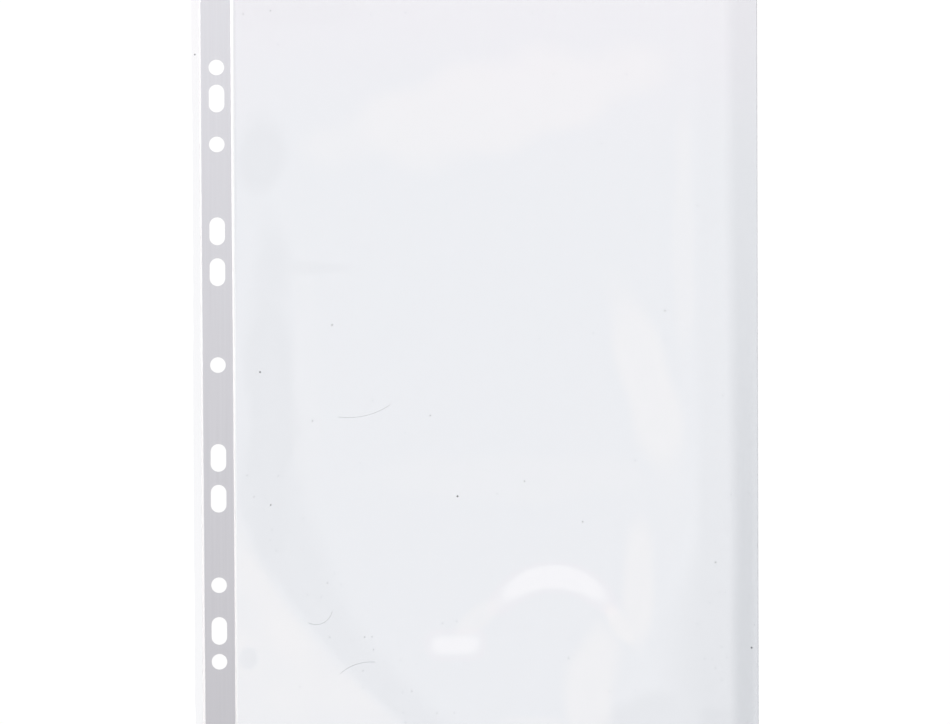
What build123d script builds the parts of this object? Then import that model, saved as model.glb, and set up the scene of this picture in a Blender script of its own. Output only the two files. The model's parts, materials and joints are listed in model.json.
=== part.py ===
"""Clear punched pocket for A4 paper, lying flat.

One thin film is folded over at the right into a back leaf and a front leaf. The back leaf runs on to the left
as a margin, and a punched strip is welded on it along both of its long edges. The mouth is at the top (+Y).
"""

import os

from build123d import *

# Gauges
film_t = 0.08  # clear film
strip_t = 0.16  # punched strip
air_gap = 0.34  # between the two leaves of the empty pocket

# Widths, from the outer edge on the left to the fold on the right
lip_w = 2.0  # bare film outside the strip
lip_rise = 0.25  # how far the weld draws the lip's edge up off the table
outer_weld_w = 1.5
strip_w = 12.3
inner_weld_w = 1.0
crease_land = 0.2  # bare film between the inner weld and the crease
pocket_w = 211.1  # from the crease to the outside of the fold

# Heights
sheet_h = 305.0  # from the bottom edge to the mouth
bottom_weld_w = 2.0

# Punching: pairs of holes lie evenly about the middle of the strip
hole_edge = 10.0  # from the outer edge to the line of holes
hole_d = 6.3
slot_len = 11.2  # end to end
outer_round_pitch = 240.0
inner_round_pitch = 178.0
outer_slot_pitch = 215.0
middle_slot_pitch = 108.0
inner_slot_pitch = 75.0

# Clearances
crease_clear = 0.05  # from the rounded end of the margin film to the back leaf
turn_clear = 0.20  # from the front leaf to the strip when the page stands square to it
leaf_clear = 0.10  # from the front leaf to the fold and to the bottom weld

# Stations along X and Y, and levels along Z
width = lip_w + outer_weld_w + strip_w + inner_weld_w + crease_land + pocket_w
x_left = -width / 2
x_right = width / 2
x_lip = x_left + lip_w
x_strip_0 = x_lip + outer_weld_w
x_strip_1 = x_strip_0 + strip_w
x_crease = x_right - pocket_w
x_holes = x_left + hole_edge
y_bottom = -sheet_h / 2
y_mouth = sheet_h / 2
y_seal = y_bottom + bottom_weld_w
z_strip = film_t
z_margin_top = film_t + strip_t
z_front = film_t + air_gap
z_top = z_front + film_t
nose_r = film_t / 2
fold_r = z_top / 2
x_fold = x_right - fold_r


def slab(x0, x1, y0, y1, z0, z1):
    """A flat sheet between two corners."""
    block = Box(x1 - x0, y1 - y0, z1 - z0, align=(Align.MIN, Align.MIN, Align.MIN))
    return Pos(x0, y0, z0) * block


def along_y(section, y0, y1):
    """A closed section in X and Z, drawn out from y0 to y1."""
    face = make_face(Plane.XZ * section)
    return Pos(0, y0, 0) * extrude(face, amount=y1 - y0, dir=(0, 1, 0))


def along_x(section, x0, x1):
    """A closed section in Y and Z, drawn out from x0 to x1."""
    face = make_face(Plane.YZ * section)
    return Pos(x0, 0, 0) * extrude(face, amount=x1 - x0, dir=(1, 0, 0))


def punch(z0, z1):
    """The cutters of every hole, through the levels from z0 to z1."""
    depth = 3 * (z1 - z0)
    z_mid = (z0 + z1) / 2
    round_cut = Cylinder(hole_d / 2, depth)
    slot_cut = extrude(SlotOverall(slot_len, hole_d, rotation=90), amount=depth / 2, both=True)
    cutters = [Pos(x_holes, 0, z_mid) * round_cut]
    for pitch in (outer_round_pitch, inner_round_pitch):
        for side in (-1, 1):
            cutters.append(Pos(x_holes, side * pitch / 2, z_mid) * round_cut)
    for pitch in (outer_slot_pitch, middle_slot_pitch, inner_slot_pitch):
        for side in (-1, 1):
            cutters.append(Pos(x_holes, side * pitch / 2, z_mid) * slot_cut)
    return cutters


def weld_fillet(x_edge, x_toe):
    """A melted bead that fills the corner between the strip's edge and the film."""
    x_mid = (x_edge + x_toe) / 2
    z_mid = z_strip + 0.75 * strip_t
    section = Curve() + [
        Line((x_toe, z_strip), (x_edge, z_strip)),
        Line((x_edge, z_strip), (x_edge, z_margin_top)),
        ThreePointArc((x_edge, z_margin_top), (x_mid, z_mid), (x_toe, z_strip)),
    ]
    return along_y(section, y_bottom, y_mouth)


# Binding margin: film, strip and the two welds
margin_section = Curve() + [
    Line((x_crease, 0), (x_lip, 0)),
    Line((x_lip, 0), (x_left, lip_rise)),
    Line((x_left, lip_rise), (x_left, lip_rise + film_t)),
    Line((x_left, lip_rise + film_t), (x_lip, film_t)),
    Line((x_lip, film_t), (x_crease, film_t)),
    ThreePointArc((x_crease, film_t), (x_crease + nose_r, nose_r), (x_crease, 0)),
]
margin_film = along_y(margin_section, y_bottom, y_mouth) - punch(0, film_t)
binding_strip = slab(x_strip_0, x_strip_1, y_bottom, y_mouth, z_strip, z_margin_top)
binding_strip -= punch(z_strip, z_margin_top)
outer_weld = weld_fillet(x_strip_0, x_lip)
inner_weld = weld_fillet(x_strip_1, x_strip_1 + inner_weld_w)

# Pocket: back leaf, fold and bottom weld
x_back = x_crease + nose_r + crease_clear
back_film = slab(x_back, x_fold, y_seal, y_mouth, 0, film_t)
bore_r = air_gap / 2
fold_section = Curve() + [
    Line((x_fold, 0), (x_fold, film_t)),
    ThreePointArc((x_fold, film_t), (x_fold + bore_r, fold_r), (x_fold, z_front)),
    Line((x_fold, z_front), (x_fold, z_top)),
    ThreePointArc((x_fold, z_top), (x_right, fold_r), (x_fold, 0)),
]
side_fold = along_y(fold_section, y_seal, y_mouth)
bead_section = Curve() + [
    Line((y_seal, 0), (y_seal, z_top)),
    Line((y_seal, z_top), (y_bottom + fold_r, z_top)),
    ThreePointArc((y_bottom + fold_r, z_top), (y_bottom, fold_r), (y_bottom + fold_r, 0)),
    Line((y_bottom + fold_r, 0), (y_seal, 0)),
]
bottom_weld = along_x(bead_section, x_back, x_right)

# Front leaf, with a rounded lower edge on which it swings open
x_front_0 = x_crease + nose_r + strip_t + turn_clear
x_front_1 = x_fold - leaf_clear
y_swing = y_seal + leaf_clear + nose_r
leaf_section = Curve() + [
    Line((y_mouth, z_front), (y_mouth, z_top)),
    Line((y_mouth, z_top), (y_swing, z_top)),
    ThreePointArc((y_swing, z_top), (y_swing - nose_r, z_front + nose_r), (y_swing, z_front)),
    Line((y_swing, z_front), (y_mouth, z_front)),
]
front_film = along_x(leaf_section, x_front_0, x_front_1)

os.makedirs("parts", exist_ok=True)
nodes = {
    "margin_film": margin_film,
    "binding_strip": binding_strip,
    "outer_weld": outer_weld,
    "inner_weld": inner_weld,
    "back_film": back_film,
    "side_fold": side_fold,
    "bottom_weld": bottom_weld,
    "front_film": front_film,
}
for name, node in nodes.items():
    export_step(node, f"parts/{name}.step")

print(f"width {width:.1f}, crease at x {x_crease:.3f}, holes at x {x_holes:.3f}")
print(f"swing at y {y_swing:.3f}, z {z_front + nose_r:.3f}; top at z {z_top:.3f}")
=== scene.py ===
# %% [markdown]
# # A clear punched pocket for A4 paper
# The real thing is one thin polypropylene film, folded over at the right into a back leaf and a front leaf.
# The back leaf runs on to the left as a margin, and a matte grey strip with eleven punched holes is welded on
# it. It lies on a white table and is seen from straight above. The CAD solids are the fixed frame: they are
# loaded first, and every piece below is built where its solid lies, in the same metres.

# %% The CAD frame
import json
import math
from functools import partial

import bpy
import bmesh
import numpy as np
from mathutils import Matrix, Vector


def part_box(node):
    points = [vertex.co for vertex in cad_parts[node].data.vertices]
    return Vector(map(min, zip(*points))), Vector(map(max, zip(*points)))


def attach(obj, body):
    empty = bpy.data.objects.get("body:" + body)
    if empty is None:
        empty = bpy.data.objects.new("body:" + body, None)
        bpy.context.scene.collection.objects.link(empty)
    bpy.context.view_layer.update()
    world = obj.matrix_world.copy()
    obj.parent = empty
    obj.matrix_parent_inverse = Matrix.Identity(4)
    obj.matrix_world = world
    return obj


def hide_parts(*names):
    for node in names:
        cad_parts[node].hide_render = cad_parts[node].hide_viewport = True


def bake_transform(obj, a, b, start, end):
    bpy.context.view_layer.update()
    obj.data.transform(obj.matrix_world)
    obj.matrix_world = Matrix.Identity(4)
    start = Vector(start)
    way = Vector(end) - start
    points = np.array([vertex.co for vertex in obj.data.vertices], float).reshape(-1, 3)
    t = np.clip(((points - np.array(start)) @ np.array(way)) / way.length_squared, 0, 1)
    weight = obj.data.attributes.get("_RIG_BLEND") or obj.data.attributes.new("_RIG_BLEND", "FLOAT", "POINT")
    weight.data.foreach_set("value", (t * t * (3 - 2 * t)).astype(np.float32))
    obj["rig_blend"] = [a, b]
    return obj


MM = 0.001
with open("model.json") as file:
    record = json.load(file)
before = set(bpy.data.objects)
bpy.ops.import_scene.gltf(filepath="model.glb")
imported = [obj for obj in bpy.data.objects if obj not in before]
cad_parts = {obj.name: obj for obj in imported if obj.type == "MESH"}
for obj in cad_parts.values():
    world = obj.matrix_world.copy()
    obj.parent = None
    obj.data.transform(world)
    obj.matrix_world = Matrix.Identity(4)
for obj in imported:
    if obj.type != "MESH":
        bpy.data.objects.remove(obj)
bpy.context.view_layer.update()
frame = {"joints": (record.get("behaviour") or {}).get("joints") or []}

# %% [markdown]
# A film pocket has few sizes, and the solids already hold most of them. Reading each solid's box back gives
# the stations along the axes, in millimetres, so that they are not typed again and nothing needs fitting.
# The page turns on the crease, so the first joint says where that is.

# %% Stations of the pieces
def corners_of(node):
    """A CAD node's lowest and highest corner, in millimetres."""
    low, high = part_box(node)
    return [v / MM for v in low], [v / MM for v in high]


(lip_x, foot_y, _), (_, mouth_y, _) = corners_of("margin_film")
(strip_x0, _, strip_z0), (strip_x1, _, strip_z1) = corners_of("binding_strip")
(bead_x0, _, _), _ = corners_of("outer_weld")
_, (bead_x1, _, _) = corners_of("inner_weld")
(back_x0, seal_y, _), (fold_x, _, film_gauge) = corners_of("back_film")
_, (right_x, _, fold_top) = corners_of("side_fold")
(_, _, front_z), _ = corners_of("front_film")
sheet_height = mouth_y - foot_y
crease_x = frame["joints"][0]["pos_m"][0] / MM
print(f"film {film_gauge:.2f}, strip {strip_z1 - strip_z0:.2f} thick, crease at x {crease_x:.2f} mm")

# %% [markdown]
# Colours are given in sRGB, and shaders work in linear light. One function turns a hex
# value round. One more adds a node with its settings and links, for shaders and geometry alike, so that each
# tree below reads as a list of what feeds what. The last empties the tree that a material, lamp or world
# starts with.

# %% Three small helpers
def linear(hex_colour):
    """An sRGB hex colour as linear red, green and blue, and alpha 1."""
    channels = [int(hex_colour[i : i + 2], 16) / 255 for i in (1, 3, 5)]
    return [c / 12.92 if c <= 0.04045 else ((c + 0.055) / 1.055) ** 2.4 for c in channels] + [1.0]


def add_node(tree, kind, inputs=None, **settings):
    """Adds a node. An input is a plain value, or another node's output to link from."""
    node = tree.nodes.new(kind)
    for name, value in settings.items():
        setattr(node, name, value)
    for key, value in (inputs or {}).items():
        if isinstance(value, bpy.types.NodeSocket):
            tree.links.new(value, node.inputs[key])
        else:
            node.inputs[key].default_value = value
    return node


def empty_shader(owner):
    """Empties the tree of a material, lamp or world, and returns add_node for that tree."""
    owner.use_nodes = True
    owner.node_tree.nodes.clear()
    return partial(add_node, owner.node_tree)


WHITE = linear("#FFFFFF")
print("a mid grey of #808080 is", round(linear("#808080")[0], 3), "in linear light")

# %% [markdown]
# ## The film's finish
# Cast polypropylene film is squeezed out of a slot die onto a chilled roll. It comes out clear and glossy,
# with a faint cool tint, soft lengthwise die lines, and a few gel specks, dust and hair scuffs from handling.
# It is plain glass to a ray tracer: an IOR of 1.49 alone mirrors a thirteenth of the light at each leaf, and
# that loss is what makes the pocket look grey on white. The pattern has to follow a leaf that bends, so it
# reads the flat sheet's own UV map, scaled to millimetres. Real specks and dust are near 0.2 mm. Most are
# drawn larger, dust at 0.4 to 0.5 mm and specks at up to 0.7 mm, so that they show. Three numbers kept at the
# film's points change its tint: one greys it as painted shade, one lightens it as painted highlight, and the
# third, dusty, says where fine dust lies.

# %% Cast polypropylene film
POLYPROPYLENE_IOR = 1.49
# where nearly all values of a noise texture lie
NOISE_SPAN = {"From Min": 0.3, "From Max": 0.7}
# each dust: spacing and largest radius in mm, and the span of a cell's random number over which it grows
DUST = (13.0, 0.22, (0.56, 0.88))
FINE_DUST = (4.4, 0.27, (0.50, 0.74))
# a die line's width and length, in mm
DIE_LINE = (1.4, 90.0)
FILM_ROUGHNESS = (0.05, 0.11)
# each gel speck: its place on the sheet and its radius, in mm
GEL_SPECKS = [
    ((-87.0, -2.9), 0.36),
    ((-57.9, 16.0), 0.25),
    ((-66.0, -22.7), 0.21),
    ((-18.4, -20.7), 0.25),
    ((-7.5, -53.4), 0.37),
    ((19.6, -47.4), 0.21),
    ((43.0, -63.9), 0.23),
    ((96.7, -80.5), 0.25),
    ((111.2, -115.2), 0.37),
    ((76.5, 21.3), 0.22),
    ((-83.0, -56.6), 0.27),
    ((53.5, -132.5), 0.14),
    ((-112.7, 125.2), 0.36),
]
HAIR_WIDTH = 0.10
# each hair scuff: centre of its arc, radius, the way to its middle in degrees, and half its sweep
HAIR_SCUFFS = [
    ((-51.3, 8.6), 30.0, -77.0, 21.0),
    ((-64.9, -98.5), 6.6, -65.0, 55.0),
    ((-43.0, -138.5), 18.2, 108.0, 24.0),
]


def add_dust(add, mm):
    """1 on a grain of dust, 0 elsewhere. Fine dust lies only where the film is dusty."""
    dusty = add("ShaderNodeAttribute", attribute_name="dusty").outputs["Fac"]
    dust = 0.0
    for (spacing, radius, (least, most)), share in ((DUST, 1.0), (FINE_DUST, dusty)):
        cell = add("ShaderNodeTexVoronoi", {"Vector": mm, "Scale": 1 / spacing}, voronoi_dimensions="2D")
        pick = add("ShaderNodeMath", {0: cell.outputs["Color"], 1: share}, operation="MULTIPLY").outputs[0]
        grows = {"Value": pick, "From Min": least, "From Max": most, "To Max": radius / spacing}
        size = add("ShaderNodeMapRange", grows).outputs[0]
        grain = add("ShaderNodeMath", {0: cell.outputs["Distance"], 1: size}, operation="LESS_THAN")
        dust = add("ShaderNodeMath", {0: dust, 1: grain.outputs[0]}, operation="MAXIMUM").outputs[0]
    return dust


def add_specks(add, mm):
    """1 on a gel speck, 0 elsewhere."""
    specks = 0.0
    for (x, y), radius in GEL_SPECKS:
        far = add("ShaderNodeVectorMath", {0: mm, 1: (x, y, 0)}, operation="DISTANCE").outputs["Value"]
        speck = add("ShaderNodeMath", {0: far, 1: radius}, operation="LESS_THAN").outputs[0]
        specks = add("ShaderNodeMath", {0: specks, 1: speck}, operation="MAXIMUM").outputs[0]
    return specks


def add_hairs(add, mm):
    """1 on a hair scuff, 0 elsewhere. A scuff is an arc: near a circle, and near the way to its middle."""
    hairs = 0.0
    for (x, y), radius, middle, sweep in HAIR_SCUFFS:
        away = add("ShaderNodeVectorMath", {0: mm, 1: (x, y, 0)}, operation="SUBTRACT").outputs[0]
        far = add("ShaderNodeVectorMath", {0: away}, operation="LENGTH").outputs["Value"]
        on_circle = add("ShaderNodeMath", {0: far, 1: radius, 2: HAIR_WIDTH / 2}, operation="COMPARE")
        unit = add("ShaderNodeVectorMath", {0: away}, operation="NORMALIZE").outputs[0]
        way = (math.cos(math.radians(middle)), math.sin(math.radians(middle)), 0)
        along = add("ShaderNodeVectorMath", {0: unit, 1: way}, operation="DOT_PRODUCT").outputs["Value"]
        reach = math.cos(math.radians(sweep))
        in_sweep = add("ShaderNodeMath", {0: along, 1: reach}, operation="GREATER_THAN")
        both = {0: on_circle.outputs[0], 1: in_sweep.outputs[0]}
        hair = add("ShaderNodeMath", both, operation="MULTIPLY").outputs[0]
        hairs = add("ShaderNodeMath", {0: hairs, 1: hair}, operation="MAXIMUM").outputs[0]
    return hairs


def make_film_finish():
    material = bpy.data.materials.new("cast polypropylene film, clear")
    add = empty_shader(material)
    flat = add("ShaderNodeUVMap", uv_map="flat_sheet").outputs["UV"]
    to_mm = {"Vector": flat, "Scale": (sheet_height,) * 3, "Location": (lip_x, foot_y, 0)}
    mm = add("ShaderNodeMapping", to_mm).outputs[0]
    painted_shade = add("ShaderNodeAttribute", attribute_name="painted_shade").outputs["Fac"]
    painted_highlight = add("ShaderNodeAttribute", attribute_name="painted_highlight").outputs["Fac"]
    colour = linear("#F9FAFC")
    for amount, shade in (
        # painted shade: a grey that stands in for shade falling on the film
        (painted_shade, "#DDDFE2"),
        # painted highlight: a near white that stands in for the studio's highlights mirrored in the film
        (painted_highlight, "#FFFEFE"),
        (add_dust(add, mm), "#D8DADD"),
        (add_hairs(add, mm), "#CBCDD0"),
        (add_specks(add, mm), "#B0B2B5"),
    ):
        mix = add("ShaderNodeMix", {0: amount, 6: colour, 7: linear(shade)}, data_type="RGBA")
        colour = mix.outputs[2]
    per_line = (1 / DIE_LINE[0], 1 / DIE_LINE[1], 1)
    streak = add("ShaderNodeVectorMath", {0: mm, 1: per_line}, operation="MULTIPLY").outputs[0]
    noise = {"Vector": streak, "Scale": 1.0, "Detail": 2.0}
    lines = add("ShaderNodeTexNoise", noise, noise_dimensions="2D").outputs[0]
    smooth, rough = FILM_ROUGHNESS
    gloss = add("ShaderNodeMapRange", {"Value": lines, **NOISE_SPAN, "To Min": smooth, "To Max": rough})
    shader = add(
        "ShaderNodeBsdfPrincipled",
        {
            "Base Color": colour,
            "Roughness": gloss.outputs[0],
            "IOR": POLYPROPYLENE_IOR,
            "Transmission Weight": 1.0,
        },
    )
    add("ShaderNodeOutputMaterial", {"Surface": shader.outputs[0]})
    return material


film_finish = make_film_finish()
print(film_finish.name, "has", len(film_finish.node_tree.nodes), "nodes")

# %% [markdown]
# ## The strip's finish
# The strip is a polypropylene tape, filled pale grey and run over an embossed roll, which leaves it matte. Up
# close it has a fine even grain and faint lengthwise draw lines. Nothing bends it, so plain Object
# coordinates will do. The grain of a real roll is near 0.15 mm, and it is drawn at 0.45 mm so that it shows.

# %% Embossed polypropylene tape
GRAIN = 0.45
GRAIN_DEPTH = 0.02
# a draw line's width and length, in mm
DRAW_LINE = (0.9, 70.0)


def make_tape_finish():
    material = bpy.data.materials.new("polypropylene tape, embossed matte grey")
    add = empty_shader(material)
    spot = add("ShaderNodeTexCoord").outputs["Object"]
    noise = {"Vector": spot, "Scale": 1 / (GRAIN * MM), "Detail": 2.0}
    grain = add("ShaderNodeTexNoise", noise).outputs[0]
    per_line = (1 / (DRAW_LINE[0] * MM), 1 / (DRAW_LINE[1] * MM), 1)
    streak = add("ShaderNodeVectorMath", {0: spot, 1: per_line}, operation="MULTIPLY").outputs[0]
    lines = add("ShaderNodeTexNoise", {"Vector": streak, "Scale": 1.0, "Detail": 3.0}).outputs[0]
    tone = add("ShaderNodeMapRange", {"Value": lines, **NOISE_SPAN}).outputs[0]
    greys = {0: tone, 6: linear("#D0D3D7"), 7: linear("#D4D7DB")}
    colour = add("ShaderNodeMix", greys, data_type="RGBA")
    rough = add("ShaderNodeMapRange", {"Value": grain, **NOISE_SPAN, "To Min": 0.48, "To Max": 0.62})
    bump = add("ShaderNodeBump", {"Height": grain, "Strength": 0.25, "Distance": GRAIN_DEPTH * MM})
    shader = add(
        "ShaderNodeBsdfPrincipled",
        {
            "Base Color": colour.outputs[2],
            "Roughness": rough.outputs[0],
            "Normal": bump.outputs[0],
            "IOR": POLYPROPYLENE_IOR,
        },
    )
    add("ShaderNodeOutputMaterial", {"Surface": shader.outputs[0]})
    return material


tape_finish = make_tape_finish()
print(tape_finish.name, "has", len(tape_finish.node_tree.nodes), "nodes")

# %% [markdown]
# ## The welds' finish
# Where the hot bar melts film and tape together the plastic cools fast and turns milky, so a weld shows as a
# thin white line. It is too milky to see into, so a plain white shader with a soft gloss does. Its bump is
# the faint lumps that the bar leaves, about 1.5 mm apart.

# %% Heat-sealed polypropylene
LUMP = 1.5
LUMP_DEPTH = 0.02


def make_weld_finish():
    material = bpy.data.materials.new("polypropylene weld, heat-sealed milky")
    add = empty_shader(material)
    spot = add("ShaderNodeTexCoord").outputs["Object"]
    noise = {"Vector": spot, "Scale": 1 / (LUMP * MM), "Detail": 2.0}
    lumps = add("ShaderNodeTexNoise", noise).outputs[0]
    tone = add("ShaderNodeMapRange", {"Value": lumps, **NOISE_SPAN}).outputs[0]
    whites = {0: tone, 6: linear("#F8FAFA"), 7: linear("#FDFFFF")}
    colour = add("ShaderNodeMix", whites, data_type="RGBA")
    rough = add("ShaderNodeMapRange", {"Value": lumps, **NOISE_SPAN, "To Min": 0.30, "To Max": 0.45})
    bump = add("ShaderNodeBump", {"Height": lumps, "Strength": 0.1, "Distance": LUMP_DEPTH * MM})
    shader = add(
        "ShaderNodeBsdfPrincipled",
        {
            "Base Color": colour.outputs[2],
            "Roughness": rough.outputs[0],
            "Normal": bump.outputs[0],
            "IOR": POLYPROPYLENE_IOR,
        },
    )
    add("ShaderNodeOutputMaterial", {"Surface": shader.outputs[0]})
    return material


weld_finish = make_weld_finish()
print(weld_finish.name, "has", len(weld_finish.node_tree.nodes), "nodes")

# %% [markdown]
# ## Trees that make pieces
# Two rules shape most of the margin: a tape with a row of punched holes, and a section drawn out along a
# straight path. Both are Geometry Nodes trees with named sizes. A helper starts a tree, and another runs a
# finished tree on a few points and keeps the result as a plain mesh, because the frame needs real meshes at
# the origin.

# %% Starting a tree and keeping its mesh
def start_tree(name, sizes):
    """A Geometry Nodes tree with a geometry input and the named inputs: tree, add_node for it, its inputs."""
    tree = bpy.data.node_groups.new(name, "GeometryNodeTree")
    tree.interface.new_socket("Geometry", in_out="INPUT", socket_type="NodeSocketGeometry")
    for size, kind in sizes.items():
        tree.interface.new_socket(size, in_out="INPUT", socket_type=kind)
    tree.interface.new_socket("Geometry", in_out="OUTPUT", socket_type="NodeSocketGeometry")
    add = partial(add_node, tree)
    return tree, add, add("NodeGroupInput").outputs


def grow(name, seed_mesh, tree, sizes):
    """Runs a tree on a seed mesh and keeps what it made as a plain object at the origin."""
    piece = bpy.data.objects.new(name, seed_mesh)
    bpy.context.collection.objects.link(piece)
    modifier = piece.modifiers.new("making", "NODES")
    modifier.node_group = tree
    for item in tree.interface.items_tree:
        if item.in_out == "INPUT" and item.name in sizes:
            modifier[item.identifier] = sizes[item.name]
    made = bpy.data.meshes.new_from_object(piece.evaluated_get(bpy.context.evaluated_depsgraph_get()))
    piece.modifiers.remove(modifier)
    made.materials.clear()
    made.materials.append(sizes["Finish"])
    made.polygons.foreach_set("material_index", [0] * len(made.polygons))
    piece.data = made
    made.name = name
    bpy.data.meshes.remove(seed_mesh)
    return piece


def points_of(piece):
    """Where a piece's points lie, in millimetres, as one row for each axis."""
    return np.array([v.co for v in piece.data.vertices]).T / MM


def measure(piece):
    """One line on a finished piece: its size in mm, its faces, and whether it is closed."""
    shell = bmesh.new()
    shell.from_mesh(piece.data)
    closed = all(edge.is_manifold for edge in shell.edges)
    volume = shell.calc_volume(signed=True) / MM**3
    shell.free()
    size = " x ".join(f"{v:.2f}" for v in np.ptp(points_of(piece), axis=1))
    print(f"{piece.name}: {size} mm, {len(piece.data.polygons)} faces, {volume:.0f} mm3, closed {closed}")


print("node trees so far:", len(bpy.data.node_groups))

# %% [markdown]
# ## Punched tape
# The punch goes through tape and film in one stroke: five round holes and six slots on one line, in pairs
# about the middle. Each hole is one point. The tree stands a round or a slot outline on each point, fills the
# sheet's outline with the holes left open, and gives the fill its thickness.

# %% The punched tape tree
ROUND_SIDES = 56
SLOT_CORNER_STEPS = 14
MERGE_REACH = 0.001


def make_punched_tape():
    lengths = ("Left", "Right", "Foot", "Mouth", "Base", "Gauge", "Hole width", "Slot length", "Skew")
    sizes = {**dict.fromkeys(lengths, "NodeSocketFloat"), "Finish": "NodeSocketMaterial"}
    tree, add, size = start_tree("punched tape", sizes)
    wide = add("ShaderNodeMath", {0: size["Right"], 1: size["Left"]}, operation="SUBTRACT").outputs[0]
    tall = add("ShaderNodeMath", {0: size["Mouth"], 1: size["Foot"]}, operation="SUBTRACT").outputs[0]
    mid_x = add("ShaderNodeMath", {0: wide, 1: 0.5, 2: size["Left"]}, operation="MULTIPLY_ADD").outputs[0]
    mid_y = add("ShaderNodeMath", {0: tall, 1: 0.5, 2: size["Foot"]}, operation="MULTIPLY_ADD").outputs[0]
    middle = add("ShaderNodeCombineXYZ", {0: mid_x, 1: mid_y, 2: size["Base"]}).outputs[0]
    edge = add(
        "GeometryNodeCurvePrimitiveQuadrilateral",
        {"Width": wide, "Height": tall, "Offset": size["Skew"]},
        mode="PARALLELOGRAM",
    )
    outline = add("GeometryNodeTransform", {"Geometry": edge.outputs[0], "Translation": middle})

    radius = add("ShaderNodeMath", {0: size["Hole width"], 1: 0.5}, operation="MULTIPLY").outputs[0]
    ring = add("GeometryNodeCurvePrimitiveCircle", {"Resolution": ROUND_SIDES, "Radius": radius})
    block = add("GeometryNodeCurvePrimitiveQuadrilateral", {0: size["Hole width"], 1: size["Slot length"]})
    slot = add(
        "GeometryNodeFilletCurve",
        {"Curve": block.outputs[0], "Radius": radius, "Count": SLOT_CORNER_STEPS, "Limit Radius": True},
        mode="POLY",
    )
    is_slot = add("GeometryNodeInputNamedAttribute", {"Name": "slot"}, data_type="BOOLEAN").outputs[0]
    is_round = add("FunctionNodeBooleanMath", {0: is_slot}, operation="NOT").outputs[0]
    curves = add("GeometryNodeJoinGeometry", {0: outline.outputs[0]})
    for shape, chosen in ((ring, is_round), (slot, is_slot)):
        row = add(
            "GeometryNodeInstanceOnPoints",
            {"Points": size["Geometry"], "Selection": chosen, "Instance": shape.outputs[0]},
        )
        tree.links.new(row.outputs[0], curves.inputs[0])
    plain = add("GeometryNodeRealizeInstances", {0: curves.outputs[0]})
    lower = add("GeometryNodeFillCurve", {0: plain.outputs[0]}).outputs[0]
    raised = add(
        "GeometryNodeExtrudeMesh",
        {"Mesh": lower, "Offset": (0, 0, 1), "Offset Scale": size["Gauge"], "Individual": False},
    )
    under = add("GeometryNodeFlipFaces", {0: lower})
    both = add("GeometryNodeJoinGeometry", {0: raised.outputs[0]})
    tree.links.new(under.outputs[0], both.inputs[0])
    close = {"Geometry": both.outputs[0], "Distance": MERGE_REACH * MM}
    whole = add("GeometryNodeMergeByDistance", close)
    real = add("GeometryNodeRealizeInstances", {0: whole.outputs[0]})
    done = add("GeometryNodeSetMaterial", {"Geometry": real.outputs[0], "Material": size["Finish"]})
    add("NodeGroupOutput", {0: done.outputs[0]})
    return tree


punched_tape = make_punched_tape()
print(punched_tape.name, "has", len(punched_tape.nodes), "nodes")

# %% [markdown]
# A solid's box says nothing about its holes, so their sizes and pitches are written here as they are in the
# CAD. One function lays the hole points out, and the tape is then grown from them. The strip was fed in a
# hair askew to its line of holes: 0.8 mm over its length.

# %% The binding strip
HOLE_WIDTH = 6.3
SLOT_LENGTH = 11.2
HOLE_INSET = 10.0
ROUND_PITCHES = [0.0, 178.0, 240.0]
SLOT_PITCHES = [75.0, 108.0, 215.0]
ASKEW = 0.8
TRIM = 0.2


def pairs(pitches):
    """The places along Y of holes that lie in pairs about the middle."""
    return sorted({side * pitch / 2 for pitch in pitches for side in (-1, 1)})


def hole_points():
    """A mesh of loose points, one a hole, that knows which are slots."""
    rounds, slots = pairs(ROUND_PITCHES), pairs(SLOT_PITCHES)
    hole_x = (lip_x + HOLE_INSET) * MM
    mesh = bpy.data.meshes.new("hole points")
    mesh.from_pydata([(hole_x, y * MM, 0) for y in rounds + slots], [], [])
    is_slot = mesh.attributes.new("slot", "BOOLEAN", "POINT")
    is_slot.data.foreach_set("value", [False] * len(rounds) + [True] * len(slots))
    return mesh


def punch_sheet(name, left, right, base, gauge, finish, skew=0.0):
    """A flat sheet between two stations along X, punched with the row of holes."""
    sizes = {"Left": left, "Right": right, "Foot": foot_y, "Mouth": mouth_y, "Base": base, "Gauge": gauge}
    sizes.update({"Hole width": HOLE_WIDTH, "Slot length": SLOT_LENGTH, "Skew": skew})
    sizes = {size: value * MM for size, value in sizes.items()}
    return grow(name, hole_points(), punched_tape, {**sizes, "Finish": finish})


strip_foot_x = (strip_x0 + ASKEW, strip_x1 + ASKEW - TRIM)
strip_mouth_x = (strip_x0, strip_x1 - TRIM)
punched_strip = punch_sheet(
    "punched_strip",
    strip_x0 + ASKEW / 2,
    strip_x1 - TRIM + ASKEW / 2,
    strip_z0,
    strip_z1 - strip_z0,
    tape_finish,
    skew=-ASKEW,
)
measure(punched_strip)

# %% [markdown]
# ## Film leaves
# Every leaf is a closed film over a grid: a lower face, an upper face one gauge above it, and a rim. A plain
# grid is the right tool here, because the leaf's small rises and dents are a height at each point, and the
# gloss shows them. The leaf also gets the UV map of the flat sheet it was cut from, for its finish.

# %% A closed film over a grid
SHARP_EDGE = math.radians(50)


def flat_uv(mesh):
    """Lays the UV map of the flat sheet on a mesh: the sheet's height is 1 in both directions."""
    points = np.zeros(len(mesh.vertices) * 3, np.float32)
    mesh.vertices.foreach_get("co", points)
    corner = np.zeros(len(mesh.loops), np.int32)
    mesh.loops.foreach_get("vertex_index", corner)
    flat = (points.reshape(-1, 3)[corner, :2] / MM - (lip_x, foot_y)) / sheet_height
    layer = mesh.uv_layers.new(name="flat_sheet")
    layer.data.foreach_set("uv", flat.astype(np.float32).ravel())


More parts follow.
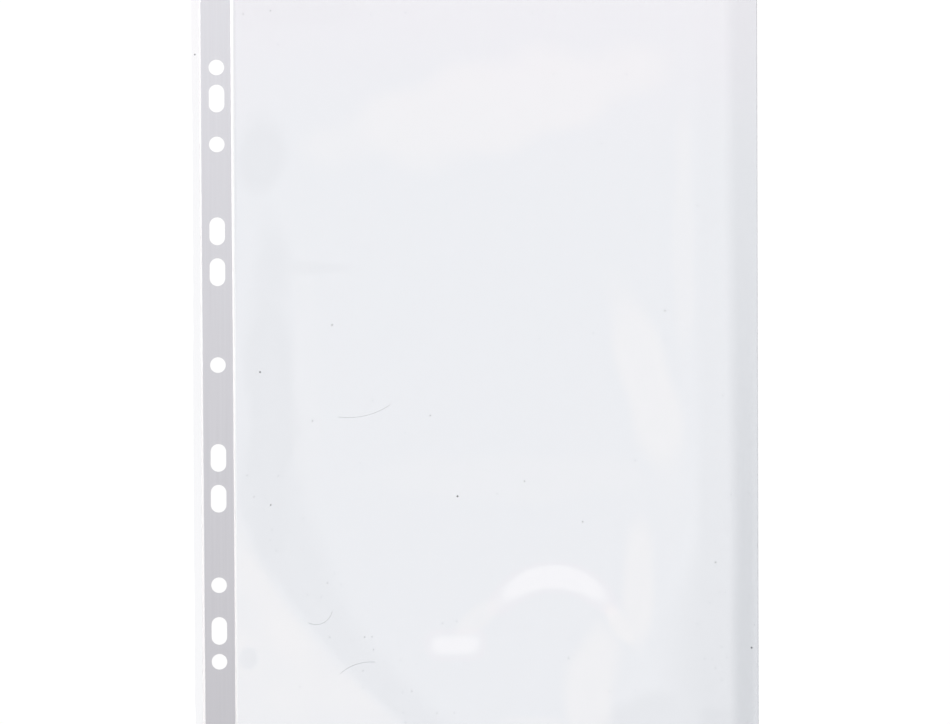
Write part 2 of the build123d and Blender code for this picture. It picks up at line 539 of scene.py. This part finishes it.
def film_mesh(name, x, y, under, finish):
    """A closed film whose lower face goes through the given grids of x, y and height in mm."""
    rows, columns = x.shape
    lower = np.stack([x, y, under], -1).reshape(-1, 3)
    upper = lower + (0, 0, film_gauge)
    count = len(lower)
    index = np.arange(count).reshape(rows, columns)
    a, b, c, d = index[:-1, :-1], index[1:, :-1], index[1:, 1:], index[:-1, 1:]
    faces = [
        np.stack([a, b, c, d], -1).reshape(-1, 4) + count,
        np.stack([a, d, c, b], -1).reshape(-1, 4),
    ]
    for rim in (index[:, 0], index[-1], index[::-1, -1], index[0, ::-1]):
        faces.append(np.stack([rim[:-1], rim[1:], rim[1:] + count, rim[:-1] + count], -1))
    points = np.concatenate([lower, upper]) * MM
    mesh = bpy.data.meshes.new(name)
    mesh.from_pydata(points.tolist(), [], np.concatenate(faces).tolist())
    mesh.materials.append(finish)
    mesh.shade_smooth()
    mesh.set_sharp_from_angle(angle=SHARP_EDGE)
    flat_uv(mesh)
    return mesh


def place(mesh):
    """Puts a mesh in the scene as an object at the origin."""
    piece = bpy.data.objects.new(mesh.name, mesh)
    bpy.context.collection.objects.link(piece)
    return piece


print(f"films are {film_gauge:.2f} mm thick")

# %% [markdown]
# ## The margin
# The margin is the back film's left end. It runs under the strip, is punched with it, and stands out past it
# as a lip that the weld has drawn up a little and the cutter has left ragged. The punched part comes from the
# tape tree. The lip is a narrow grid with a wavering outer edge. The two meet under the outer weld.

# %% The clear margin
LIP_RISE = 0.25
RAGGED = 0.35
SWAY = 0.25
SWAY_LENGTH = 31.0
USUAL_NICK = 0.1
DEEPEST_NICK = 0.9
SEAM_INSET = 0.15
seam_x = strip_x0 - SEAM_INSET

under_strip = punch_sheet("clear_margin", seam_x, bead_x1, 0.0, film_gauge, film_finish)
flat_uv(under_strip.data)

rng = np.random.default_rng(7)
lip_ys = np.linspace(foot_y, mouth_y, 241)
rough_edge = np.convolve(rng.normal(size=lip_ys.size + 8), np.ones(5) / 5, "same")[4:-4]
nicks = np.clip(rough_edge, -1, 1) * RAGGED + SWAY * np.sin(lip_ys / SWAY_LENGTH)
share = np.linspace(0, 1, 6)[:, None]
outer = lip_x + np.clip(nicks + USUAL_NICK, 0, DEEPEST_NICK)
lip_grid_x = outer[None, :] + share * (seam_x - outer[None, :])
lip_grid_y = np.broadcast_to(lip_ys, lip_grid_x.shape)
lip_grid_z = LIP_RISE * np.clip((bead_x0 - lip_grid_x) / (bead_x0 - lip_x), 0, 1) ** 1.5
lip_mesh = film_mesh("lip", lip_grid_x, lip_grid_y, lip_grid_z, film_finish)

joined = bmesh.new()
joined.from_mesh(under_strip.data)
joined.from_mesh(lip_mesh)
joined.to_mesh(under_strip.data)
joined.free()
bpy.data.meshes.remove(lip_mesh)
clear_margin = under_strip
measure(clear_margin)

# %% [markdown]
# ## Drawn sections
# A weld bead, the fold and the bottom seal each keep one section along a straight line. The tree draws a
# section, given as a ring of points, from a start to an end. Its width can waver and taper along the way, as
# a hand-set sealing bar leaves it: the inner weld is wide at the mouth and thin at the foot.

# %% The drawn section tree
def make_drawn_section():
    number, vector = "NodeSocketFloat", "NodeSocketVector"
    tree, add, size = start_tree(
        "drawn section",
        {
            "Start": vector,
            "End": vector,
            "Steps": "NodeSocketInt",
            "Width at start": number,
            "Width at end": number,
            "Waver": number,
            "Waver length": number,
            "Finish": "NodeSocketMaterial",
        },
    )
    line = add("GeometryNodeCurvePrimitiveLine", {"Start": size["Start"], "End": size["End"]})
    path = add("GeometryNodeResampleCurve", {"Curve": line.outputs[0], "Count": size["Steps"]})
    how_far = add("GeometryNodeSplineParameter").outputs["Factor"]
    far = add("GeometryNodeCaptureAttribute", {"Geometry": path.outputs[0]})
    far.capture_items.new("FLOAT", "how far")
    tree.links.new(how_far, far.inputs[1])
    ring = add("GeometryNodeMeshToCurve", {"Mesh": size["Geometry"]})
    drawn = add(
        "GeometryNodeCurveToMesh",
        {"Curve": far.outputs[0], "Profile Curve": ring.outputs[0], "Fill Caps": True},
    )
    spot = add("GeometryNodeInputPosition").outputs[0]
    finer = add("ShaderNodeVectorMath", {0: spot, 1: size["Waver length"]}, operation="DIVIDE").outputs[0]
    noise = add("ShaderNodeTexNoise", {"Vector": finer, "Scale": 1.0, "Detail": 2.0}).outputs[0]
    about = add("ShaderNodeMath", {0: noise, 1: 0.5}, operation="SUBTRACT").outputs[0]
    waver = add("ShaderNodeMath", {0: about, 1: size["Waver"]}, operation="MULTIPLY").outputs[0]
    ends = {"To Min": size["Width at start"], "To Max": size["Width at end"]}
    taper = add("ShaderNodeMapRange", {"Value": far.outputs[1], **ends}).outputs[0]
    width = add("ShaderNodeMath", {0: taper, 1: waver}, operation="ADD").outputs[0]
    less = add("ShaderNodeMath", {0: width, 1: 1.0}, operation="SUBTRACT").outputs[0]
    across = add("ShaderNodeVectorMath", {0: spot, 1: size["Start"]}, operation="SUBTRACT").outputs[0]
    only_x = add("ShaderNodeVectorMath", {0: across, 1: (1, 0, 0)}, operation="MULTIPLY").outputs[0]
    shift = add("ShaderNodeVectorMath", {0: only_x, "Scale": less}, operation="SCALE").outputs[0]
    set_wide = add("GeometryNodeSetPosition", {"Geometry": drawn.outputs[0], "Offset": shift})
    real = add("GeometryNodeRealizeInstances", {0: set_wide.outputs[0]})
    done = add("GeometryNodeSetMaterial", {"Geometry": real.outputs[0], "Material": size["Finish"]})
    add("NodeGroupOutput", {0: done.outputs[0]})
    return tree


drawn_section = make_drawn_section()


def draw_out(name, ring, start, end, steps, finish, widths=(1, 1), waver=0.0, waver_length=1.0):
    """Draws a section along a line. ring is its outline, across and up in mm, counter-clockwise."""
    points = [(across * MM, -up * MM, 0) for across, up in ring[::-1]]
    seed = bpy.data.meshes.new("section")
    seed.from_pydata(points, [(i, (i + 1) % len(points)) for i in range(len(points))], [])
    sizes = {
        "Start": [v * MM for v in start],
        "End": [v * MM for v in end],
        "Steps": steps,
        "Width at start": float(widths[0]),
        "Width at end": float(widths[1]),
        "Waver": waver,
        "Waver length": waver_length * MM,
        "Finish": finish,
    }
    piece = grow(name, seed, drawn_section, sizes)
    piece.data.shade_smooth()
    piece.data.set_sharp_from_angle(angle=SHARP_EDGE)
    return piece


print(drawn_section.name, "has", len(drawn_section.nodes), "nodes")

# %% [markdown]
# ## The two welds of the strip
# Each bead is a low hump that starts on the bare film and laps onto the strip's edge. It stands 0.02 mm over
# the strip, so that it catches the light as one bright line.

# %% Weld beads
CROWN = 0.19
BEAD_SINK = 0.01
BEAD_STEPS = 400
WAVER = 0.22
WAVER_LENGTH = 6.0
hump = [(-math.cos(t), CROWN * math.sin(t) ** 1.2) for t in np.linspace(0, math.pi, 17)]


def lay_bead(name, edge, off, half, widths):
    """A bead beside one edge of the strip. off and widths say where and how wide, at foot and mouth."""
    ring = [(half * across, up) for across, up in hump][::-1]
    base = film_gauge - BEAD_SINK
    start = (strip_foot_x[edge] + off[0], foot_y, base)
    end = (strip_mouth_x[edge] + off[1], mouth_y, base)
    return draw_out(name, ring, start, end, BEAD_STEPS, weld_finish, widths, WAVER, WAVER_LENGTH)


outer_bead = lay_bead("outer_weld_bead", edge=0, off=(-0.56, -0.31), half=0.50, widths=(1.15, 0.65))
inner_bead = lay_bead("inner_weld_bead", edge=1, off=(0.19, 0.50), half=0.53, widths=(0.55, 1.0))
measure(outer_bead)
measure(inner_bead)

# %% [markdown]
# ## The fold and the bottom seal
# At the right the film turns over in a hairpin a quarter of a millimetre in radius, which shows as a fine
# dark line, darkened further by painted shade on the fold, and at the foot both leaves are melted into one
# band with a rounded outer edge. The band starts 0.6 mm past the crease, so that it clears the inner bead
# when the page stands up.

# %% Fold and bottom seal
SEAL_INSET = 0.5
FOLD_STEPS = 200
SEAL_STEPS = 300
fold_r = fold_top / 2


def arc(radius, first, last, steps):
    """An arc about half the fold's height, between two quarter turns: across and up in mm."""
    angles = np.linspace(first * math.pi / 2, last * math.pi / 2, steps)
    return [(radius * math.cos(t), fold_r + radius * math.sin(t)) for t in angles]


hairpin = arc(fold_r, -1, 1, 17) + arc(fold_r - film_gauge, -1, 1, 17)[::-1]
fold_start, fold_end = (fold_x, seal_y, 0), (fold_x, mouth_y, 0)
fold_edge = draw_out("fold_edge", hairpin, fold_start, fold_end, FOLD_STEPS, film_finish)
flat_uv(fold_edge.data)
measure(fold_edge)

seal_w = seal_y - foot_y
nose = [(fold_r + across, up) for across, up in arc(fold_r, 1, 3, 13)]
band = [(seal_w, 0.0), (seal_w, fold_top)] + nose
ring = [(-across, up) for across, up in band][::-1]
seal_start, seal_end = (back_x0 + SEAL_INSET, foot_y, 0), (right_x, foot_y, 0)
bottom_seal = draw_out("bottom_seal", ring, seal_start, seal_end, SEAL_STEPS, weld_finish)
measure(bottom_seal)

# %% [markdown]
# ## The back leaf
# The back leaf lies on the table and is flat. It starts at the inner weld, and its first columns are fine,
# because there it bends when the page turns.

# %% The back leaf
CREASE_REACH = 0.6
crease_columns = np.linspace(bead_x1, crease_x + CREASE_REACH, 15)
leaf_columns = np.linspace(crease_x + CREASE_REACH, fold_x, 71)[1:]
x, y = np.meshgrid(
    np.concatenate([crease_columns, leaf_columns]), np.linspace(seal_y, mouth_y, 101), indexing="ij"
)
back_leaf = place(film_mesh("back_leaf", x, y, np.zeros_like(x), film_finish))
measure(back_leaf)

# %% [markdown]
# ## The front leaf
# The front leaf is free between its edges and never lies quite flat: it has a rounded rise near the foot, a
# dent that runs down from the margin, and long shallow waves. The rise and a short ridge beside it are three
# millimetres high and the rest less than one, but a glossy leaf shows them as bright and dark patches of the
# studio. A cloth simulation would find its own folds, and these ones are known, so each is a smooth bump
# added to the height. All fade out at the weld, the fold and the seal, where the leaf is held. Its left edge
# is sealed to the back leaf 0.3 mm past the crease, clear of the inner bead.

# %% The front leaf's rises and dents
LEAF_INSET = 0.2
WELD_GAP = 0.02
REST_RISE = 0.45
DENT_START = (-97.0, -52.0)
DENT_RUN = (66.5, 93.0)
DENT_DEPTH = 0.35
DOME_CENTRE = (31.0, -113.0)
DOME_RADIUS = 34.8
DOME_RISE = 3.2
RIDGE_RISE = 3.0


def ease(t):
    """0 below 0, 1 above 1, and smooth between."""
    t = np.clip(t, 0, 1)
    return t * t * (3 - 2 * t)


def past_dent(x, y):
    """How far a point lies to the right of the dent's line, in mm. The line runs down from the margin."""
    down = np.clip((DENT_START[1] - y) / DENT_RUN[1], 0, 1.2)
    return x - DENT_START[0] - DENT_RUN[0] * down**1.5


def dome_rise(x, y):
    """A round dome near the foot: steep towards the mouth, and dying away slowly to the foot, in mm."""
    inside = DOME_RADIUS - np.hypot(x - DOME_CENTRE[0], y - DOME_CENTRE[1])
    to_mouth = ease((y + 125.0) / 24.0)
    return DOME_RISE * (to_mouth * ease(inside / 15.5) + (1 - to_mouth) * ease(inside / 34.0))


def ridge_rise(x, y):
    """A short ridge to the left of the dome, in mm."""
    front = ease((-105.0 - y) / 17.0) * np.exp(-np.clip(-122.0 - y, 0, None) / 12.0)
    return RIDGE_RISE * front * ease((x + 27.0) / 12.0) * ease((12.0 - x) / 12.0)


def front_under(x, y):
    """The height of the front leaf's lower face, in mm."""
    held = ease((x - back_x0) / 9.0) * ease((fold_x - x) / 7.0) * ease((y - seal_y) / 10.0)
    weld_drop = (front_z - film_gauge - WELD_GAP) * (1 - ease((x - back_x0) / 4.0))
    dent = -DENT_DEPTH * np.exp(-(((past_dent(x, y) - 8.0) / 16.0) ** 2)) * ease((40.0 - y) / 60.0)
    waves = 0.16 * np.sin(x / 21.0 + y / 61.0 + 0.6) + 0.14 * np.sin(y / 27.0 - x / 47.0 + 1.0)
    return front_z - weld_drop + held * (REST_RISE + dome_rise(x, y) + ridge_rise(x, y) + dent + waves)


leaf_x0 = back_x0 + LEAF_INSET
leaf_x, leaf_y = np.meshgrid(
    np.linspace(leaf_x0, fold_x, 169), np.linspace(seal_y, mouth_y, 241), indexing="ij"
)
front_leaf = place(film_mesh("front_leaf", leaf_x, leaf_y, front_under(leaf_x, leaf_y), film_finish))
measure(front_leaf)

# %% [markdown]
# The film is lightened in soft patches where highlights mirrored from the studio are painted on it, and
# greyed as painted shade along the fold, down the dent and in a few more places, and fine dust lies along the
# fold and down the dent. All three are soft patches, kept as numbers at each point for the finish to read.

# %% Painted highlights of the front leaf
# each painted highlight: centre, half width, half height, turn in degrees, and strength
PAINTED_HIGHLIGHTS = [
    ((8.0, 104.0), 64.0, 17.0, 14.0, 0.62),
    ((14.0, -46.0), 56.0, 9.0, 0.0, 0.18),
    ((69.3, -9.4), 10.0, 40.0, 13.0, 0.68),
    ((84.0, 50.0), 4.2, 46.0, 0.0, 0.30),
    ((-68.5, -10.0), 6.0, 46.0, 0.0, 0.12),
    ((46.5, -131.0), 10.0, 24.0, -8.0, 0.72),
    ((65.3, -90.0), 6.8, 22.0, 0.0, 0.68),
    ((0.0, -103.0), 9.0, 4.5, 40.0, 0.45),
    ((57.9, -105.3), 3.2, 8.8, 36.0, 0.85),
    ((23.0, -146.0), 14.0, 3.5, 0.0, 0.45),
]


def patch(x, y, centre, half_x, half_y, turn=0.0):
    """1 inside an oval with an uneven soft edge, 0 outside."""
    c, s = math.cos(math.radians(turn)), math.sin(math.radians(turn))
    dx, dy = x - centre[0], y - centre[1]
    away = np.hypot((c * dx + s * dy) / half_x, (c * dy - s * dx) / half_y)
    uneven = 0.10 * np.sin(x / 6.1 + y / 9.7) + 0.08 * np.sin(x / 11.3 - y / 5.9)
    return ease((1.35 - away - uneven) / 0.7)


def highlit_corner(x, y):
    """1 in the lower left corner, where a highlight is painted, and 0 past the dent."""
    return ease((1.5 - past_dent(x, y)) / 7.0) * ease((-42.0 - y) / 30.0)


def corner_highlight(x, y):
    """How the painted highlight in the lower left corner varies: a soft pattern with one duller spot, and
    weaker towards the foot.
    """
    pattern = 0.45 + 0.18 * np.sin(x / 7.3 - y / 12.1) * np.sin(x / 10.7 + y / 8.3)
    pattern = pattern + 0.08 * np.sin(y / 5.1 + x / 3.7) - 0.55 * patch(x, y, (-92.3, -118.8), 3.6, 4.2)
    return pattern * highlit_corner(x, y) * (1 - 0.5 * ease((-128.0 - y) / 18.0))


def painted_highlight(x, y):
    """How much painted highlight lightens each point."""
    places = [strength * patch(x, y, centre, a, b, turn) for centre, a, b, turn, strength in PAINTED_HIGHLIGHTS]
    return np.maximum.reduce(places + [corner_highlight(x, y)])


print("the clear places reach", round(float(painted_highlight(leaf_x, leaf_y).max()), 2))

# %% [markdown]
# The painted shade is the largest of a few soft shapes at each point, each one a place where the film is
# greyed to stand in for shade: along the fold, down the dent, beside the crease and in a few patches. Dust
# settles in two of them.

# %% Painted shade and dusty places of the front leaf
def crease_shade_strength(y):
    """How strong the painted shade beside the inner weld is: full towards the mouth, and little at the foot.
    """
    return 0.15 + 0.85 * ease((y - 5.0) / 80.0)


def fold_shade(x, y):
    """The two bands of painted shade along the fold, stronger and wider towards the foot."""
    low = ease((170.0 - y) / 330.0)
    foot = ease((-66.0 - y) / 50.0)
    band_x = 98.3 + 1.8 * low * (1 - 0.5 * foot)
    narrow = (0.35 + 0.50 * low**1.2) * ease((x - band_x) / 8.0) * (1 - 0.25 * low * ease((x - 111.0) / 1.2))
    wide = (0.05 + 0.23 * low**3.2) * ease((x - 87.0 + 21.0 * foot) / (6.0 + 24.0 * foot))
    return np.maximum(narrow, wide)


def dent_shade(x, y):
    """The band of painted shade down the dent."""
    d = past_dent(x, y)
    foot = ease((-66.0 - y) / 50.0)
    return 0.13 * ease((d + 1.5) / 5.0) * ease((34.0 - 9.0 * foot - d) / 14.0) * ease((-10.0 - y) / 50.0)


# each patch of painted shade: centre, half width, half height, and strength
SHADE_PATCHES = [
    ((-83.0, -20.0), 10.0, 70.0, 0.17),
    ((-92.3, -119.0), 3.2, 3.8, 0.11),
    ((-86.0, 86.0), 9.5, 15.0, 0.16),
    ((-66.0, 39.0), 18.0, 2.5, 0.09),
    ((79.0, -146.0), 31.0, 12.0, 0.18),
]


def painted_shade(x, y):
    """How much painted shade greys each point."""
    # painted shade in the corner by the fold at the foot, beside the crease, towards the mouth and in its
    # left corner
    low_corner = 0.38 * ease((-132.0 - y) / 10.0) * ease((x - 82.0) / 12.0)
    crease = 0.22 * crease_shade_strength(y) * ease((back_x0 + 0.8 - x) / 0.5)
    mouth = 0.03 * ease((y - 90.0) / 60.0)
    mouth_corner = 0.08 * ease((y - 128.0) / 14.0) * ease((-30.0 - x) / 30.0)
    places = [strength * patch(x, y, centre, a, b) for centre, a, b, strength in SHADE_PATCHES]
    places += [fold_shade(x, y), dent_shade(x, y), low_corner, crease, mouth, mouth_corner]
    return np.maximum.reduce(places)


def dusty(x, y):
    """Where fine dust has settled: down the dent, and along the fold near the foot."""
    d = past_dent(x, y)
    in_dent = ease(d / 5.0) * ease((38.0 - d) / 14.0) * ease(-y / 40.0)
    return np.maximum(in_dent, ease((x - 84.0) / 10.0) * ease((-60.0 - y) / 40.0))


print("haze from 0 to", round(float(painted_shade(leaf_x, leaf_y).max()), 2))

# %% [markdown]
# Each number is now kept at the points of the leaves. The back leaf, the margin and the fold have plainer
# marks of their own: painted shade by the crease and a painted highlight in the corner, an even painted
# highlight on the margin, and even painted shade on the fold.

# %% Marks on the film
MARGIN_HIGHLIGHT = 0.25
FOLD_SHADE = 0.9


def mark(piece, name, values):
    """Keeps a number at each point of a piece."""
    layer = piece.data.attributes.new(name, "FLOAT", "POINT")
    layer.data.foreach_set("value", values.astype(np.float32))


x, y, _ = points_of(front_leaf)
mark(front_leaf, "painted_shade", painted_shade(x, y))
mark(front_leaf, "painted_highlight", painted_highlight(x, y))
mark(front_leaf, "dusty", dusty(x, y))
x, y, _ = points_of(back_leaf)
mark(back_leaf, "painted_shade", 0.30 * crease_shade_strength(y) * (x < leaf_x0 + 0.05))
mark(back_leaf, "painted_highlight", 0.30 * highlit_corner(x, y))
mark(clear_margin, "painted_highlight", np.full(len(clear_margin.data.vertices), MARGIN_HIGHLIGHT))
mark(fold_edge, "painted_shade", np.full(len(fold_edge.data.vertices), FOLD_SHADE))
films = (front_leaf, back_leaf, clear_margin, fold_edge)
print("marked points:", {piece.name: len(piece.data.vertices) for piece in films})

# %% [markdown]
# ## What moves with what
# The margin is the root, and the pocket turns on the crease like a page, so the back leaf bends there over
# 0.6 mm. The mouth opens when the front leaf bows up: it follows its own body in the middle and stays sealed
# at both sides, so the weights that the frame gives along the leaf are eased off towards the sides.

# %% Riding on the bodies
BEND = 0.3
MOUTH_BLEND = 40.0

for piece, body, node, slot in (
    (punched_strip, "binding_margin", "binding_strip", "strip"),
    (clear_margin, "binding_margin", "margin_film", "film"),
    (outer_bead, "binding_margin", "outer_weld", "weld"),
    (inner_bead, "binding_margin", "inner_weld", "weld"),
    (fold_edge, "pocket", "side_fold", "film"),
    (bottom_seal, "pocket", "bottom_weld", "weld"),
):
    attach(piece, body)
    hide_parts(node)

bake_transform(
    back_leaf,
    "binding_margin",
    "pocket",
    start=((crease_x - BEND) * MM, 0, 0),
    end=((crease_x + BEND) * MM, 0, 0),
)
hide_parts("back_film")

blend_y = (seal_y * MM, (seal_y + MOUTH_BLEND) * MM)
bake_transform(front_leaf, "pocket", "front_leaf", start=(0, blend_y[0], 0), end=(0, blend_y[1], 0))
x, _, _ = points_of(front_leaf)
sides = np.minimum(x - leaf_x0, fold_x - x) / (0.5 * (fold_x - leaf_x0))
eased = np.sin(np.clip(sides, 0, 1) * math.pi / 2) ** 1.5
weights = front_leaf.data.attributes["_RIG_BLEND"]
along = np.zeros(len(x), np.float32)
weights.data.foreach_get("value", along)
weights.data.foreach_set("value", (along * eased).astype(np.float32))
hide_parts("front_film")

# %% [markdown]

# %% [markdown]
# ## Table, light and camera
# The table is a plain white plane. To the camera, and to rays that reach it through the film or off it, it
# adds a steady glow that makes it white, and its own shading keeps the shadow. The clear leaves cast none.

# %% The white table
TABLE_HALF = 6.0
TABLE_DROP = 0.05
TABLE_GLOW = 0.966


def make_table():
    material = bpy.data.materials.new("white table")
    add = empty_shader(material)
    path = add("ShaderNodeLightPath").outputs
    eye = {0: path["Is Camera Ray"], 1: path["Is Glossy Ray"]}
    seen = add("ShaderNodeMath", eye, operation="MAXIMUM").outputs[0]
    seen = add("ShaderNodeMath", {0: seen, 1: path["Is Transmission Ray"]}, operation="MAXIMUM").outputs[0]
    paint = add("ShaderNodeBsdfDiffuse", {"Color": (0.85, 0.85, 0.85, 1)})
    dim = add("ShaderNodeBsdfDiffuse", {"Color": (0.06, 0.06, 0.06, 1)})
    glow = add("ShaderNodeEmission", {"Color": WHITE, "Strength": TABLE_GLOW})
    white = add("ShaderNodeAddShader", {0: dim.outputs[0], 1: glow.outputs[0]})
    mix = add("ShaderNodeMixShader", {0: seen, 1: paint.outputs[0], 2: white.outputs[0]})
    add("ShaderNodeOutputMaterial", {"Surface": mix.outputs[0]})
    mesh = bpy.data.meshes.new("table")
    far, low = TABLE_HALF, -TABLE_DROP * MM
    corners = [(-far, -far, low), (far, -far, low), (far, far, low), (-far, far, low)]
    mesh.from_pydata(corners, [], [(0, 1, 2, 3)])
    mesh.materials.append(material)
    return place(mesh)


table = make_table()

for piece in films:
    piece.visible_shadow = False
    piece.visible_diffuse = False
print("clear leaves cast no shadow on", table.name)

# %% [markdown]
# The world is a studio with a white backdrop low down and a half-dark ceiling, which has one faint lilac band
# above the mouth. The flat film mirrors the ceiling, so the ceiling's tone is most of the pocket's own tone.

# %% The studio
CEILING = "#B2B2B4"
LILAC = "#D2B4BE"
# where the band comes in and goes out, along Y, and where the backdrop ends, along Z
BAND_IN = (0.07, 0.15)
BAND_OUT = (0.20, 0.30)
BACKDROP_END = (0.10, 0.30)

world = bpy.data.worlds.new("studio")
bpy.context.scene.world = world
add = empty_shader(world)
way = add("ShaderNodeTexCoord").outputs["Generated"]
way = add("ShaderNodeSeparateXYZ", {0: way}).outputs
steps = []
for axis, (first, last) in (("Y", BAND_IN), ("Y", BAND_OUT), ("Z", BACKDROP_END)):
    span = {"Value": way[axis], "From Min": first, "From Max": last}
    steps.append(add("ShaderNodeMapRange", span, interpolation_type="SMOOTHSTEP").outputs[0])
near, far, up = steps
lilac = add("ShaderNodeMath", {0: near, 1: far}, operation="SUBTRACT").outputs[0]
room = add("ShaderNodeMix", {0: lilac, 6: linear(CEILING), 7: linear(LILAC)}, data_type="RGBA").outputs[2]
around = add("ShaderNodeMix", {0: up, 6: WHITE, 7: room}, data_type="RGBA").outputs[2]
eye = add("ShaderNodeLightPath").outputs["Is Camera Ray"]
seen = add("ShaderNodeMix", {0: eye, 6: around, 7: WHITE}, data_type="RGBA").outputs[2]
sky = add("ShaderNodeBackground", {"Color": seen})
add("ShaderNodeOutputWorld", {"Surface": sky.outputs[0]})
print("studio has", len(world.node_tree.nodes), "nodes")

# %% [markdown]
# Three softboxes hang in it. The broad one overhead, beyond the mouth, gives the film its highlights. A lower
# and nearer one makes the strip paler towards the mouth. The third lights the two weld beads alone, so that
# they stay bright lines down to the foot. The last two would show as hard squares in the gloss of a film that
# bows up, so mirrored and refracted rays don't see them.

# %% Softboxes
def hang_softbox(name, at, aim, width, depth, glow, soft, colour="#FFFFFF"):
    """A softbox of a given brightness, where white is 1, aimed at a point. It fades over its outer rim."""
    lamp = bpy.data.lights.new(name, "AREA")
    lamp.color = linear(colour)[:3]
    lamp.shape = "RECTANGLE"
    lamp.size, lamp.size_y = width, depth
    lamp.energy = glow * math.pi * width * depth
    add = empty_shader(lamp)
    spot = add("ShaderNodeNewGeometry").outputs["Parametric"]
    spot = add("ShaderNodeSeparateXYZ", {0: spot}).outputs
    fades = []
    for side, span in (("X", width), ("Y", depth)):
        inward = add("ShaderNodeMath", {0: spot[side], 1: 0.5}, operation="PINGPONG").outputs[0]
        rim = {"Value": inward, "From Max": soft / span}
        fades.append(add("ShaderNodeMapRange", rim, interpolation_type="SMOOTHSTEP").outputs[0])
    level = add("ShaderNodeMath", {0: fades[0], 1: fades[1]}, operation="MULTIPLY").outputs[0]
    light = add("ShaderNodeEmission", {"Strength": level})
    add("ShaderNodeOutputLight", {0: light.outputs[0]})
    box = bpy.data.objects.new(name, lamp)
    box.location = at
    box.rotation_mode = "QUATERNION"
    box.rotation_quaternion = (Vector(aim) - Vector(at)).to_track_quat("-Z", "Y")
    box.visible_camera = False
    bpy.context.collection.objects.link(box)
    return box


hang_softbox(
    "overhead softbox",
    at=(0, 1.55, 3.0),
    aim=(0, 1.55, 0),
    width=6.0,
    depth=2.0,
    glow=1.06,
    colour="#FFE8E0",
    soft=0.5,
)
mouth_box = hang_softbox(
    "mouth softbox",
    at=(-0.05, 0.6, 0.6),
    aim=(-0.05, 0, 0),
    width=0.6,
    depth=0.4,
    glow=7.4,
    colour="#FCFDFF",
    soft=0.06,
)
weld_box = hang_softbox(
    "weld softbox",
    at=(-0.1, -0.5, 0.6),
    aim=(-0.1, -0.15, 0),
    width=0.3,
    depth=0.3,
    glow=4.0,
    soft=0.05,
)
for box in (mouth_box, weld_box):
    box.visible_glossy = False
    box.visible_transmission = False
lit_welds = bpy.data.collections.new("lit welds")
for bead in (outer_bead, inner_bead):
    lit_welds.objects.link(bead)
weld_box.light_linking.receiver_collection = lit_welds
print("softboxes:", [light.name for light in bpy.data.lights])

# %% [markdown]
# The camera looks straight down from 0.9 m, a fraction of a degree off square, as a copy stand leaves it. The
# frame cuts off the mouth and the foot.

# %% Camera
CAMERA_AT = (-0.0030, 0.0119, 0.9060)
CAMERA_TURN = (-0.699, -0.177, -0.223)

camera = bpy.data.objects.new("camera", bpy.data.cameras.new("camera"))
camera.data.lens = 85
camera.data.sensor_width = 36
camera.location = CAMERA_AT
camera.rotation_euler = [math.radians(v) for v in CAMERA_TURN]
bpy.context.collection.objects.link(camera)
bpy.context.scene.camera = camera
bpy.context.scene.view_settings.view_transform = "Standard"
print(f"camera {CAMERA_AT[2]:.3f} m up, with a lens of {camera.data.lens:.0f} mm")
